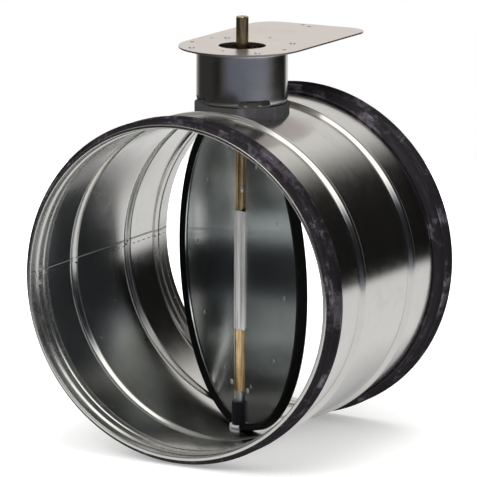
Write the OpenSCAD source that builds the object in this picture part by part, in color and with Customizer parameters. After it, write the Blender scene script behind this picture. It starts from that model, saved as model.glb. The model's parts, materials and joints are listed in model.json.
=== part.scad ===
// Round duct damper with a stand-off neck: the duct runs along Y and the shaft stands along Z.
// The origin is where the two axes cross. Lengths are in millimetres and angles in degrees.

/* [Casing] */
// Inside diameter of the casing
bore_d = 313; // [290:1:340]
// Sheet thickness of the casing
casing_t = 0.8; // [0.5:0.1:1.2]
// Length of the casing along the duct
casing_l = 265; // [255:1:320]
// Distance of each stiffening bead from the shaft
bead_pos = 51.5; // [50:0.5:56]
// Width of a stiffening bead
bead_w = 12; // [8:0.5:14]
// Height of a stiffening bead
bead_h = 3.5; // [1:0.5:5]
// How far the folded end edge stands out from the sheet
edge_h = 2.6; // [2.2:0.1:4]
// Depth of the rolled seat under each gasket
seat_depth = 2; // [1:0.1:3]
// Width of the rolled seat under each gasket
seat_w = 21; // [14:0.5:22]

/* [Duct gaskets] */
// Width of a duct gasket along the duct
gasket_w = 35; // [33:0.5:40]
// Thickness of the gasket band on the sheet
gasket_t = 1.7; // [1.2:0.1:2.4]
// Height of the two lips above the sheet
lip_h = 7.9; // [5:0.1:10]
// Distance between the tips of the two lips
lip_pitch = 17.5; // [15:0.5:20]

/* [Blade] */
// Angle of the blade at rest, measured from closed
blade_angle = 40.2; // [0:0.2:90]
// Sheet thickness of a blade disc
disc_t = 0.8; // [0.6:0.1:1.2]
// Gap between the seal and the bore of the casing
seal_gap = 0.4; // [0.35:0.05:1]
// Width of the part of the seal that shows around the discs
seal_w = 6.6; // [5:0.1:8]
// Thickness of the part of the seal that shows around the discs
seal_head_t = 10.8; // [6:0.2:11]
// Thickness of the seal between the discs
seal_web_t = 0.8; // [0.6:0.1:1.4]
// How far the seal reaches in between the discs
seal_grip = 13; // [8:0.5:16]
// Length of the strap that covers the middle of the shaft
strap_l = 116; // [80:1:140]
// Width of the pressed channel at the face of a disc
channel_w = 28; // [24:0.5:32]
// Number of spot welds
weld_count = 10; // [6:1:12]
// Distance from the edge of a disc to the ring of spot welds
weld_inset = 35.5; // [30:0.5:44]
// Diameter of a spot weld's dimple
weld_d = 4.8; // [4:0.2:6]

/* [Shaft and bearings] */
// Diameter of the shaft
shaft_d = 12; // [10:0.5:14]
// Diameter of the turned pivot at the foot of the shaft
pivot_d = 8; // [6:0.5:9]
// Length of the free end of the shaft above the plate
shaft_free = 28.3; // [20:0.1:60]
// Length of the taper between the shaft and its pivot
taper_l = 10; // [6:1:14]
// Radial running clearance of the shaft and its pivot
run_gap = 0.06; // [0.02:0.01:0.1]
// Wall of the upper bearing sleeve around the shaft
sleeve_wall = 2.24; // [1.6:0.01:3]
// Length of a bearing sleeve
sleeve_l = 22.8; // [16:0.2:26]
// Flange diameter of the lower bush
low_flange_d = 21; // [20:0.5:26]
// Flange diameter of the upper bush
top_flange_d = 28; // [26:0.5:32]
// Thickness of the flanges of both bushes
flange_t = 3.1; // [2:0.1:4]
// Wall of the upper bush around the shaft
top_bush_wall = 4.44; // [4.2:0.01:6]

/* [Neck] */
// Outside diameter of the neck
neck_d = 87.4; // [82:0.2:90]
// Height of the neck
neck_h = 52.7; // [40:0.1:90]
// Sheet thickness of the neck
neck_t = 1.2; // [0.8:0.1:1.6]
// Outside radius of the corner at the foot of the neck
neck_corner_r = 5; // [3:0.5:6]
// Outside radius of the bend from the neck into its flange
neck_bend_r = 3.2; // [1.5:0.1:3.2]
// Width of the flange at the top of the neck
neck_flange_w = 12.8; // [11:0.1:14]
// Thickness of the saddle gasket at the crown of the casing
saddle_t = 5.7; // [4:0.1:8]
// Width of a drain opening in the foot of the neck
notch_w = 31.5; // [26:0.5:34]
// Height of a drain opening in the foot of the neck
notch_h = 7.7; // [6.5:0.1:12]

/* [Actuator plate] */
// Width of the plate and diameter of its round end
plate_w = 121.6; // [118:0.2:140]
// Reach of the plate from the shaft to its far end
plate_reach = 154; // [110:1:200]
// Thickness of the plate
plate_t = 1.5; // [1:0.1:3]
// Radius of the two far corners of the plate
plate_corner_r = 24; // [10:1:40]
// Diameter of the hole around the shaft
plate_hole_d = 45.4; // [36:0.2:56]
// Distance between the two actuator screw holes beside the shaft
screw_pitch = 99.5; // [96:0.5:102]
// Diameter of the actuator screw holes
screw_hole_d = 4.3; // [3:0.1:6]

/* [Hidden] */

// Smoothness of large, medium and small round shapes, and the sides of a nut
fine = 180;
medium = 72;
small = 32;
hex = 6;
// Length by which a cutter reaches past what it cuts
over = 1;
// Gap between pieces that move past each other without bearing
move_gap = 0.5;
// Clearance around a fixed shank, rivet or ring
fit_gap = 0.1;

// Casing
bore_r = bore_d / 2;
wall_r = bore_r + casing_t;
end_y = casing_l / 2;
edge_r = wall_r + edge_h;
edge_back = 3;
seat_margin = 9.5;
seat_ramp = 2;
seat_end = end_y - seat_margin;
seat_start = seat_end - seat_w;
bead_steps = 12;

// Duct gaskets
lip_margin = 7;
lip_root_in = 4.5;
lip_root_out = 3.5;
lip_top_drop = 1.4;
lip_top_w = 1;

// Heights above the duct axis
saddle_z = wall_r + saddle_t;
floor_z = saddle_z + neck_t;
neck_top_z = saddle_z + neck_h;
plate_z = neck_top_z + plate_t;
shaft_top_z = plate_z + shaft_free;
flange_face_z = bore_r - flange_t;
sleeve_end_z = flange_face_z - sleeve_l;
channel_end_z = sleeve_end_z - move_gap;

// Blade, drawn closed and with the outer face of a disc towards +Y
seal_r = bore_r - seal_gap;
disc_r = seal_r - seal_w;
disc_back = seal_web_t / 2;
disc_face = disc_back + disc_t;
rim_w = 1.2;
rim_h = 0.6;
seal_edge = 0.8;
seal_crest_w = 1.6;
hug_r = shaft_d / 2 + fit_gap;
cover_r = hug_r + disc_t + fit_gap;
flank_rise = 0.55;
flank_half = 0.8;
weld_ring_r = disc_r - weld_inset;
weld_first = -3;
weld_depth = 0.4;
rivet_r = 1.6;
rivet_head_r = 3;
rivet_head_h = 1.2;
blade_rivet_side = 7;
blade_rivet_back = 14.1;
blade_rivet_x = channel_w / 2 + blade_rivet_side;
blade_rivet_z = channel_end_z - blade_rivet_back;

// Shaft
end_chamfer = 1;
end_slot_w = 1.4;
end_slot_depth = 2;
taper_step = 0.8;
taper_foot_z = -channel_end_z;
taper_top_z = taper_foot_z + taper_l;
pivot_end_z = wall_r + 5;

// Bushes, nuts, ring and washers
sleeve_r = shaft_d / 2 + run_gap + sleeve_wall;
pole_gap_r = sleeve_r + move_gap;
nut_h = 6;
nut_wall = 4;
shank_past = 1.5;
top_shank_r = shaft_d / 2 + run_gap + top_bush_wall;
top_shank_z = floor_z + nut_h + shank_past;
low_shank_r = sleeve_r;
low_washer_t = 2;
low_washer_w = 4.7;
low_shank_z = wall_r + low_washer_t + nut_h + shank_past;
o_ring_t = 3;
washer_t = 1.2;
washer_edge = 0.5;
ring_t = 1.2;
ring_wall = 3.4;
ring_opening = 4;
ring_groove = 0.7;
ring_z = top_shank_z + washer_t + move_gap;

// Neck and plate
neck_r = neck_d / 2;
neck_flange_r = neck_r + neck_flange_w;
corners = [45 : 90 : 315];
corner_steps = 8;
saddle_lip = 1.7;
saddle_core_r = 16;
notch_corner_r = 4;
neck_rivet_in = 7.7;
neck_rivet_ring_r = neck_r - neck_rivet_in;
neck_rivet_spread = 11.5;
inner_head_h = 0.8;
plate_r = plate_w / 2;
plate_rivet_ring_r = neck_r + neck_flange_w / 2;
screw_middle = [-2.75, -3.5];
lock_hole_r = 1.6;
lock_holes = [[0, -39], [0, 56], [-48, 27]];
tail_hole_r = 2.2;
tail_hole_x = -6;
tail_hole_back = 11;
tail_hole_step = [5, -3];

// Colours
galvanised = [0.72, 0.73, 0.74];
blade_grey = [0.45, 0.48, 0.48];
rubber_black = [0.15, 0.14, 0.16];
chromate = [0.70, 0.57, 0.30];
steel = [0.62, 0.63, 0.65];
bush_grey = [0.80, 0.81, 0.83];

// Turns a shape drawn around Z so that it stands around the duct axis
module around_duct() rotate([-90, 0, 0]) children();

// Raises a flat shape from the XZ plane between two distances along Y
module upright(y0, y1) translate([0, y1, 0]) rotate([90, 0, 0]) linear_extrude(y1 - y0) children();

// Turns the blade from closed to its place at rest
module at_blade_angle() rotate([0, 0, -blade_angle]) children();

// Round bar along the shaft axis between two heights
module bar(r, z0, z1, fn = medium) translate([0, 0, z0]) cylinder(r = r, h = z1 - z0, $fn = fn);

// Round bar along the duct axis, as long as the casing
module duct_bar(r) around_duct() translate([0, 0, -end_y]) cylinder(r = r, h = casing_l, $fn = fine);

// Ring along the shaft axis between two heights
module ring(r_in, r_out, z0, z1, fn = medium)
    difference() {
        bar(r_out, z0, z1, fn);
        bar(r_in, z0 - over, z1 + over, fn);
    }

// Hexagonal nut along the shaft axis between two heights
module nut(r_in, z0, z1)
    difference() {
        bar((r_in + nut_wall) / cos(180 / hex), z0, z1, hex);
        bar(r_in, z0 - over, z1 + over);
    }

function reversed(list) = [for (i = [len(list) - 1 : -1 : 0]) list[i]];

// The same points at the other end of the duct, in the opposite order
function at_front(list) = [for (p = reversed(list)) [p.x, -p.y]];

// Points of one bead: radius and distance along the duct
function bead_points(r) =
    [for (i = [0 : bead_steps])
        let (s = i / bead_steps * 2 - 1)
        [r + bead_h * (1 + cos(180 * s)) / 2, bead_pos + s * bead_w / 2]];

// Points of one rolled seat
function seat_points(r) =
    [[r, seat_start], [r - seat_depth, seat_start + seat_ramp],
     [r - seat_depth, seat_end - seat_ramp], [r, seat_end]];

// Points of one face of the sheet, from the middle of the casing to its rear end
function face_points(r) = concat(bead_points(r), seat_points(r));

// Points of the folded edge that holds a gasket
function edge_points() =
    [[bore_r, end_y], [edge_r, end_y], [edge_r, end_y - edge_back],
     [edge_r - casing_t, end_y - edge_back], [edge_r - casing_t, end_y - casing_t],
     [wall_r, end_y - casing_t]];

// Section of the rear half of the casing
function half_points() = concat(face_points(bore_r), edge_points(), reversed(face_points(wall_r)));

// Solid bounded by the outside of the sheet, to cut what seats on it
module casing_outside()
    around_duct()
        rotate_extrude($fn = fine)
            polygon(concat([[0, -end_y], [wall_r, -end_y]], at_front(face_points(wall_r)),
                           face_points(wall_r), [[wall_r, end_y], [0, end_y]]));

module neck_rivet_places()
    for (corner = corners, side = [-1, 1])
        rotate([0, 0, corner + side * neck_rivet_spread])
            translate([neck_rivet_ring_r, 0, 0])
                children();

module plate_rivet_places()
    for (corner = corners)
        rotate([0, 0, corner])
            translate([plate_rivet_ring_r, 0, 0])
                children();

module screw_places()
    for (x = [-screw_pitch / 2, screw_pitch / 2])
        translate(screw_middle + [x, 0])
            children();

module casing()
    color(galvanised)
        difference() {
            around_duct()
                rotate_extrude($fn = fine)
                    polygon(concat(half_points(), at_front(half_points())));
            bar(top_shank_r + fit_gap, 0, wall_r + over);
            bar(low_shank_r + fit_gap, -wall_r - over, 0);
            neck_rivet_places() bar(rivet_r + fit_gap, 0, wall_r + over, small);
        }

// Points of one lip, by the place of its tip
function lip_points(tip) =
    [[wall_r + gasket_t, tip - lip_root_in], [wall_r + lip_h, tip],
     [wall_r + lip_h - lip_top_drop, tip + lip_top_w], [wall_r + gasket_t, tip + lip_root_out]];

module rear_duct_gasket() {
    band_r = wall_r + gasket_t;
    hook_y = end_y - edge_back - fit_gap;
    tuck_r = min(band_r, edge_r - casing_t - fit_gap);
    tuck_y = end_y - casing_t - fit_gap;
    color(rubber_black)
        around_duct()
            rotate_extrude($fn = fine)
                polygon(concat(
                    [[wall_r, end_y - gasket_w], [band_r, end_y - gasket_w]],
                    lip_points(end_y - lip_margin - lip_pitch),
                    lip_points(end_y - lip_margin),
                    [[tuck_r, hook_y], [tuck_r, tuck_y], [wall_r, tuck_y]],
                    reversed(seat_points(wall_r))));
}

module front_duct_gasket() mirror([0, 1, 0]) rear_duct_gasket();

module weld_places()
    for (i = [0 : weld_count - 1])
        let (a = weld_first + i * 360 / weld_count)
        translate([weld_ring_r * cos(a), 0, weld_ring_r * sin(a)])
            children();

module blade_rivet_places()
    for (x = [-blade_rivet_x, blade_rivet_x], z = [-blade_rivet_z, blade_rivet_z])
        translate([x, 0, z])
            children();

// Section of a pressed channel: round along the shaft, with sloping flanks up to its mouth
module channel_section(r, mouth_w, mouth_y, side) {
    circle(r = r, $fn = medium);
    polygon([[-mouth_w, mouth_y - side * over], [mouth_w, mouth_y - side * over], [mouth_w, mouth_y],
             [flank_half * r, side * flank_rise * r], [-flank_half * r, side * flank_rise * r],
             [-mouth_w, mouth_y]]);
}

// Space inside a channel that is pressed out to the given side of a disc
module channel_space(r, mouth_y, side, z0, z1)
    translate([0, 0, z0])
        linear_extrude(z1 - z0)
            channel_section(r, channel_w / 2, mouth_y, side);

// Sheet around that space
module channel_sheet(r, mouth_y, side, z0, z1) {
    flank = atan((flank_rise * r - side * mouth_y) / (channel_w / 2 - flank_half * r));
    y0 = side > 0 ? disc_back : -channel_w;
    y1 = side > 0 ? channel_w : disc_face;
    intersection() {
        translate([0, 0, z0])
            linear_extrude(z1 - z0)
                channel_section(r + disc_t, channel_w / 2 + disc_t / sin(flank), mouth_y, side);
        translate([-channel_w, y0, z0 - over])
            cube([2 * channel_w, y1 - y0, z1 - z0 + 2 * over]);
    }
}

// Flat sheet of a disc with its raised rim and the backs of its weld dimples
module disc_blank() {
    upright(disc_back, disc_face) circle(r = disc_r, $fn = fine);
    upright(disc_back, disc_face + rim_h)
        difference() {
            circle(r = disc_r, $fn = fine);
            circle(r = disc_r - rim_w, $fn = fine);
        }
    weld_places() upright(0, disc_face) circle(d = weld_d, $fn = small);
}

// Opening at both poles for the bearing sleeves
module pole_cuts()
    for (up = [0, 1])
        mirror([0, 0, up])
            bar(pole_gap_r, channel_end_z, bore_r + over);

// Everything that is cut from both discs
module disc_cuts() {
    weld_places()
        upright(disc_face - weld_depth, disc_face + over)
            circle(d = weld_d - disc_t, $fn = small);
    blade_rivet_places() upright(-over, disc_face + over) circle(r = rivet_r + fit_gap, $fn = small);
    pole_cuts();
}

module front_blade_disc()
    color(blade_grey)
        at_blade_angle()
            mirror([0, 1, 0])
                difference() {
                    union() {
                        disc_blank();
                        channel_sheet(hug_r, disc_back, 1, -strap_l / 2, strap_l / 2);
                        for (up = [0, 1])
                            mirror([0, 0, up])
                                channel_sheet(hug_r, disc_face, -1, strap_l / 2, channel_end_z);
                    }
                    channel_space(hug_r, disc_back, 1, -strap_l / 2, strap_l / 2);
                    for (up = [0, 1])
                        mirror([0, 0, up])
                            channel_space(hug_r, disc_face, -1, strap_l / 2, channel_end_z);
                    disc_cuts();
                }

module rear_blade_disc()
    color(blade_grey)
        at_blade_angle()
            difference() {
                union() {
                    disc_blank();
                    channel_sheet(cover_r, disc_back, 1, -channel_end_z, channel_end_z);
                }
                channel_space(cover_r, disc_back, 1, -channel_end_z, channel_end_z);
                disc_cuts();
            }

// One side of the seal's section, from the web out to the bore
function seal_points() =
    [[disc_r - seal_grip, disc_back], [disc_r + fit_gap, disc_back], [disc_r + fit_gap, disc_face],
     [seal_r - seal_edge - seal_crest_w, seal_head_t / 2], [seal_r - seal_edge, seal_head_t / 2],
     [seal_r, seal_head_t / 2 - seal_edge]];

// Two half rings, which meet the bearing sleeves at the poles
module blade_seal()
    color(rubber_black)
        at_blade_angle()
            difference() {
                around_duct()
                    rotate_extrude($fn = fine)
                        polygon(concat(seal_points(), at_front(seal_points())));
                pole_cuts();
                bar(top_flange_d / 2 + move_gap, flange_face_z - move_gap, bore_r + over);
                bar(low_flange_d / 2 + move_gap, -bore_r - over, -flange_face_z + move_gap);
            }

module blade_rivets()
    color(steel)
        at_blade_angle()
            blade_rivet_places() {
                upright(-disc_face, disc_face) circle(r = rivet_r, $fn = small);
                upright(disc_face, disc_face + rivet_head_h) circle(r = rivet_head_r, $fn = small);
                upright(-disc_face - rivet_head_h, -disc_face) circle(r = rivet_head_r, $fn = small);
            }

module shaft() {
    r = shaft_d / 2;
    foot_r = pivot_d / 2;
    groove_r = r - ring_groove;
    color(chromate)
        at_blade_angle()
            difference() {
                rotate_extrude($fn = medium)
                    polygon([[0, -pivot_end_z], [foot_r - end_chamfer, -pivot_end_z],
                             [foot_r, -pivot_end_z + end_chamfer], [foot_r, taper_foot_z],
                             [r - taper_step, taper_top_z], [r, taper_top_z],
                             [r, ring_z], [groove_r, ring_z],
                             [groove_r, ring_z + ring_t], [r, ring_z + ring_t],
                             [r, shaft_top_z - end_chamfer], [r - end_chamfer, shaft_top_z],
                             [0, shaft_top_z]]);
                translate([-shaft_d, -end_slot_w / 2, shaft_top_z - end_slot_depth])
                    cube([2 * shaft_d, end_slot_w, end_slot_depth + over]);
            }
}

module shaft_o_ring()
    color(rubber_black)
        translate([0, 0, top_shank_z - move_gap - o_ring_t / 2])
            rotate_extrude($fn = medium)
                translate([(shaft_d + o_ring_t) / 2, 0])
                    circle(d = o_ring_t, $fn = small);

module retaining_ring() {
    r_in = shaft_d / 2 - ring_groove;
    color(steel)
        at_blade_angle()
            difference() {
                ring(r_in, r_in + ring_wall, ring_z, ring_z + ring_t);
                translate([0, -ring_opening / 2, ring_z - over])
                    cube([2 * shaft_d, ring_opening, ring_t + 2 * over]);
            }
}

module thrust_washer()
    color(steel)
        ring(shaft_d / 2 + move_gap, top_shank_r + washer_edge, top_shank_z, top_shank_z + washer_t);

// Flange of a bush that seats on the curved bore, drawn above the duct axis
module bush_flange(d)
    intersection() {
        bar(d / 2, flange_face_z, bore_r + over);
        duct_bar(bore_r);
    }

module upper_bush() {
    room_r = shaft_d / 2 + o_ring_t + move_gap;
    room_z = top_shank_z - o_ring_t - 2 * move_gap;
    color(bush_grey)
        difference() {
            union() {
                bush_flange(top_flange_d);
                bar(top_shank_r, flange_face_z, top_shank_z);
            }
            bar(shaft_d / 2 + run_gap, flange_face_z - over, top_shank_z + over);
            bar(room_r, room_z, top_shank_z + over);
        }
}

module upper_bush_nut() color(steel) nut(top_shank_r + fit_gap, floor_z, floor_z + nut_h);

module upper_bearing_sleeve()
    color(rubber_black)
        ring(shaft_d / 2 + run_gap, sleeve_r, sleeve_end_z, flange_face_z);

module lower_bush()
    color(bush_grey)
        difference() {
            union() {
                mirror([0, 0, 1]) bush_flange(low_flange_d);
                bar(low_shank_r, -low_shank_z, -flange_face_z);
            }
            bar(pivot_d / 2 + run_gap, -pivot_end_z - move_gap, -flange_face_z + over);
        }

module lower_bush_nut() {
    top_z = -wall_r - low_washer_t;
    color(steel) nut(low_shank_r + fit_gap, top_z - nut_h, top_z);
}

module lower_sealing_washer()
    color(rubber_black)
        difference() {
            ring(low_shank_r + fit_gap, low_shank_r + low_washer_w, -wall_r - low_washer_t, -flange_face_z);
            casing_outside();
        }

module lower_bearing_sleeve()
    color(rubber_black)
        ring(pivot_d / 2 + run_gap, sleeve_r, -flange_face_z, -sleeve_end_z);

module saddle_gasket()
    color(rubber_black)
        difference() {
            ring(saddle_core_r, neck_r + saddle_lip, bore_r / 2, saddle_z, fine);
            casing_outside();
            neck_rivet_places() bar(rivet_r + fit_gap, 0, saddle_z + over, small);
        }

// Points of one rounded upper corner of a drain opening
function notch_points() =
    [for (i = [0 : corner_steps])
        let (a = 90 * i / corner_steps)
        [notch_w / 2 - notch_corner_r * (1 - cos(a)), notch_h - notch_corner_r * (1 - sin(a))]];

module notch_outline()
    polygon(concat([[notch_w / 2, -over]], notch_points(),
                   [for (p = reversed(notch_points())) [-p.x, p.y]], [[-notch_w / 2, -over]]));

// Points of the rounded corner at the foot of the neck
function foot_points(r) =
    [for (i = [0 : corner_steps])
        let (a = 90 * i / corner_steps)
        [neck_r - neck_corner_r + r * sin(a), saddle_z + neck_corner_r - r * cos(a)]];

// Points of the bend from the neck into its flange
function bend_points(r) =
    [for (i = [0 : corner_steps])
        let (a = 90 * i / corner_steps)
        [neck_r + neck_bend_r - r * cos(a), neck_top_z - neck_t - neck_bend_r + r * sin(a)]];

module neck_cup() {
    hole_r = top_shank_r + fit_gap;
    color(galvanised)
        difference() {
            rotate_extrude($fn = fine)
                polygon(concat(
                    [[hole_r, saddle_z]], foot_points(neck_corner_r), bend_points(neck_bend_r),
                    [[neck_flange_r, neck_top_z - neck_t], [neck_flange_r, neck_top_z]],
                    reversed(bend_points(neck_bend_r + neck_t)),
                    reversed(foot_points(neck_corner_r - neck_t)), [[hole_r, floor_z]]));
            for (corner = corners)
                rotate([0, 0, corner])
                    translate([neck_r - neck_corner_r, 0, saddle_z])
                        rotate([90, 0, 90])
                            linear_extrude(2 * neck_corner_r)
                                notch_outline();
            neck_rivet_places() bar(rivet_r + fit_gap, saddle_z - over, floor_z + over, small);
            plate_rivet_places() bar(rivet_r + fit_gap, saddle_z + notch_h, neck_top_z + over, small);
            screw_places() bar(screw_hole_d / 2, saddle_z + notch_h, neck_top_z + over, small);
        }
}

// Rivets through the floor of the neck and the casing, with an inner head on the curved bore
module neck_rivets()
    color(steel)
        difference() {
            union() {
                neck_rivet_places() {
                    bar(rivet_head_r, floor_z, floor_z + rivet_head_h, small);
                    bar(rivet_r, bore_r / 2, floor_z, small);
                }
                intersection() {
                    neck_rivet_places() bar(rivet_head_r, bore_r / 2, saddle_z, small);
                    duct_bar(bore_r);
                }
            }
            duct_bar(bore_r - inner_head_h);
        }

module plate_outline() {
    far_y = plate_reach - plate_corner_r;
    side_x = plate_r - plate_corner_r;
    corner = [for (i = [0 : small / 4])
                 let (a = 360 * i / small)
                 [side_x + plate_corner_r * cos(a), far_y + plate_corner_r * sin(a)]];
    polygon(concat(
        [for (i = [0 : fine / 2]) let (a = 180 + 360 * i / fine) plate_r * [cos(a), sin(a)]],
        corner, [for (p = reversed(corner)) [-p.x, p.y]]));
}

module actuator_plate()
    color(galvanised)
        difference() {
            translate([0, 0, neck_top_z]) linear_extrude(plate_t) plate_outline();
            bar(plate_hole_d / 2, neck_top_z - over, plate_z + over, fine);
            plate_rivet_places() bar(rivet_r + fit_gap, neck_top_z - over, plate_z + over, small);
            screw_places() bar(screw_hole_d / 2, neck_top_z - over, plate_z + over, small);
            for (place = lock_holes)
                translate(place) bar(lock_hole_r, neck_top_z - over, plate_z + over, small);
            for (s = [-1, 1])
                translate([tail_hole_x, plate_reach - tail_hole_back] + s * tail_hole_step)
                    bar(tail_hole_r, neck_top_z - over, plate_z + over, small);
        }

module plate_rivets() {
    under_z = neck_top_z - neck_t;
    color(steel)
        plate_rivet_places() {
            bar(rivet_head_r, plate_z, plate_z + rivet_head_h, small);
            bar(rivet_r, under_z, plate_z, small);
            bar(rivet_head_r, under_z - rivet_head_h, under_z, small);
        }
}

casing();
front_duct_gasket();
rear_duct_gasket();
front_blade_disc();
rear_blade_disc();
blade_seal();
blade_rivets();
shaft();
shaft_o_ring();
retaining_ring();
thrust_washer();
upper_bush();
upper_bush_nut();
upper_bearing_sleeve();
lower_bush();
lower_bush_nut();
lower_sealing_washer();
lower_bearing_sleeve();
saddle_gasket();
neck_cup();
neck_rivets();
actuator_plate();
plate_rivets();
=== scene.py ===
"""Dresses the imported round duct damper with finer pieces, procedural finishes, a studio and a camera."""

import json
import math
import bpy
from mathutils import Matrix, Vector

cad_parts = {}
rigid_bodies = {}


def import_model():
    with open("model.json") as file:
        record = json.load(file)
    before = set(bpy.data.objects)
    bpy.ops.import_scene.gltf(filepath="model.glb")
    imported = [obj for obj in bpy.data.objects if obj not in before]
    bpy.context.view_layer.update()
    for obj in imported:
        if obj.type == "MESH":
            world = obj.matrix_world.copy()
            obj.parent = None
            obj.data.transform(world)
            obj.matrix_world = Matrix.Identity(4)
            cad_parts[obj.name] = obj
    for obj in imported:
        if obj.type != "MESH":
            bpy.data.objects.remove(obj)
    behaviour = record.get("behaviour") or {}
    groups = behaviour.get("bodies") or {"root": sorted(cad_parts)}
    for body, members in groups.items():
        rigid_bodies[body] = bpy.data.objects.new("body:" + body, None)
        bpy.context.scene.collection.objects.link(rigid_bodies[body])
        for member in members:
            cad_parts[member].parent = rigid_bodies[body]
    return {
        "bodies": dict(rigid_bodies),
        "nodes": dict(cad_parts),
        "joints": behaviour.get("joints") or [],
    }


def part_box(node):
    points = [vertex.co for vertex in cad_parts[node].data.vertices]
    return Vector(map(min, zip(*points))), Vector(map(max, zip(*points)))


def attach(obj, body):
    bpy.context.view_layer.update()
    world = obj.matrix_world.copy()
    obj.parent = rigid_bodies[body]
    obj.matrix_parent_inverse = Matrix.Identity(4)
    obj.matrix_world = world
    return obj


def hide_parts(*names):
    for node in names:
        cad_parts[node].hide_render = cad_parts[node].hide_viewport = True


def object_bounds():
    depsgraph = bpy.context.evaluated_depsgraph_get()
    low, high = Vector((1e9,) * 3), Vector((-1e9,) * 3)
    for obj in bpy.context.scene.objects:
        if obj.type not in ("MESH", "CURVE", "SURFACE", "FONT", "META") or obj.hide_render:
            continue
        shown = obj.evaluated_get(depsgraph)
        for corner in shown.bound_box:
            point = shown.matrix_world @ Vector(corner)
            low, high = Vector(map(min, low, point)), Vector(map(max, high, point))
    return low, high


bl_info = {
    "name": "Duct Damper",
    "version": (1, 0, 0),
    "blender": (4, 5, 0),
    "location": "3D View > Sidebar > Damper",
    "description": "Builds the visible pieces of a round duct damper around its packed model",
    "category": "Object",
}

import bmesh
import bpy
from bpy.props import FloatProperty, FloatVectorProperty, IntProperty, PointerProperty
from mathutils import Matrix, Vector, noise

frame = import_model()
CAD_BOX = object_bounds()

MM = 0.001
TAU = math.tau
MERGE = 2e-6
CASING_LOW, CASING_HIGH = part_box("casing")
CORNERS = [math.radians(a) for a in (45, 135, 225, 315)]
BLADE_ANGLE = math.radians(frame["joints"][0]["range_deg"][1])
STRAP_WIDE = 13.7 * MM
STRAP_LONG = 57.8 * MM
BEAD_FLANK = 0.70


# Properties

def length(label, text, millimetres):
    """A length property, given in millimetres and kept in metres."""
    return FloatProperty(name=label, description=text, default=millimetres * MM, min=0.0,
                         unit="LENGTH", precision=5)


def colour(label, text, value):
    """A colour property."""
    return FloatVectorProperty(name=label, description=text, default=value, size=3, min=0.0,
                               max=1.0, subtype="COLOR")


class DamperSizes(bpy.types.PropertyGroup):
    """Sizes of the visible pieces"""

    half_length: length("Half length", "From the shaft to either end of the casing",
                        CASING_HIGH.y / MM)
    bore_radius: length("Bore radius", "Inside radius of the casing", 156.5)
    sheet: length("Sheet", "Thickness of the casing's sheet", 0.8)
    edge_radius: length("Edge radius", "Outside radius of the folded edge", 159.9)
    edge_back: length("Edge return", "Length of the folded edge along the duct", 3.0)
    bead_place: length("Bead place", "From the shaft to the middle of a bead", 51.5)
    bead_width: length("Bead width", "Width of a bead", 12.0)
    bead_height: length("Bead height", "Height of a bead", 3.5)
    seat_start: length("Seat start", "From the shaft to the near edge of a rolled seat", 102.0)
    seat_end: length("Seat end", "From the shaft to the far edge of a rolled seat", 123.0)
    seat_depth: length("Seat depth", "Depth of a rolled seat", 2.0)
    seat_ramp: length("Seat ramp", "Width of a rolled seat's slope", 2.2)
    seat_ridge: length("Seat ridge", "Height of the ridge in a rolled seat", 1.3)
    ripple: length("Ripple", "How far the rolled sheet strays from round", 0.05)
    gasket_width: length("Gasket width", "Width of a duct gasket", 35.0)
    gasket_band: length("Gasket band", "Thickness of a duct gasket's band", 1.7)
    lip_height: length("Lip height", "Height of a duct gasket's lips", 7.9)
    lip_pitch: length("Lip pitch", "Distance between the lips", 17.5)
    lip_margin: length("Lip margin", "From the outer lip to the end of the casing", 7.0)
    seal_radius: length("Seal radius", "Outside radius of the blade's seal", 156.1)
    seal_thickness: length("Seal thickness", "Thickness of the seal's head", 10.8)
    disc_radius: length("Disc radius", "Radius of a blade disc", 149.5)
    disc_face: length("Disc face", "From the blade's middle to a disc's outer face", 1.2)
    spot_ring: length("Spot weld ring", "Radius of the ring of spot welds on a disc", 114.0)
    spot_radius: length("Spot weld radius", "Radius of a spot weld", 2.3)
    spot_height: length("Spot weld height", "Half the thickness of a spot weld", 0.45)
    sleeve_gap: length("Sleeve gap", "Radius left free for the bearing sleeves", 8.8)
    neck_radius: length("Neck radius", "Outside radius of the neck", 43.7)
    neck_foot: length("Neck foot", "Height of the neck's foot above the duct axis", 163.0)
    neck_top: length("Neck top", "Height of the neck's top above the duct axis", 215.7)
    neck_sheet: length("Neck sheet", "Thickness of the neck's sheet", 1.2)
    neck_corner: length("Neck corner", "Outside radius at the foot of the neck", 5.0)
    neck_bend: length("Neck bend", "Outside radius of the bend into the flange", 3.2)
    neck_flange: length("Neck flange", "Outside radius of the neck's flange", 56.5)
    notch_width: length("Notch width", "Width of a drain opening", 31.5)
    notch_height: length("Notch height", "Height of a drain opening", 7.7)
    notch_corner: length("Notch corner", "Corner radius of a drain opening", 4.0)
    rivet_radius: length("Rivet radius", "Radius of a rivet's head", 3.0)
    rivet_height: length("Rivet height", "Height of a rivet's head", 1.2)
    seam_top: length("Seam edge", "Height of the lap seam's upper edge", 2.9)
    seam_width: length("Seam width", "Width of the lap seam", 4.6)
    seam_step: length("Seam step", "How far the lap stands out from the sheet", 0.2)
    weld_width: length("Weld width", "Width of the weld along the seam", 1.5)
    weld_height: length("Weld height", "Height of the welds along the seam", 0.25)
    stitch_pitch: length("Stitch pitch", "Distance between the seam's stitch welds", 10.0)
    stitch_length: length("Stitch length", "Length of a stitch weld", 6.6)
    turns: IntProperty(name="Turns", description="Faces around a large round piece",
                       default=288, min=48, max=720)


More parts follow.
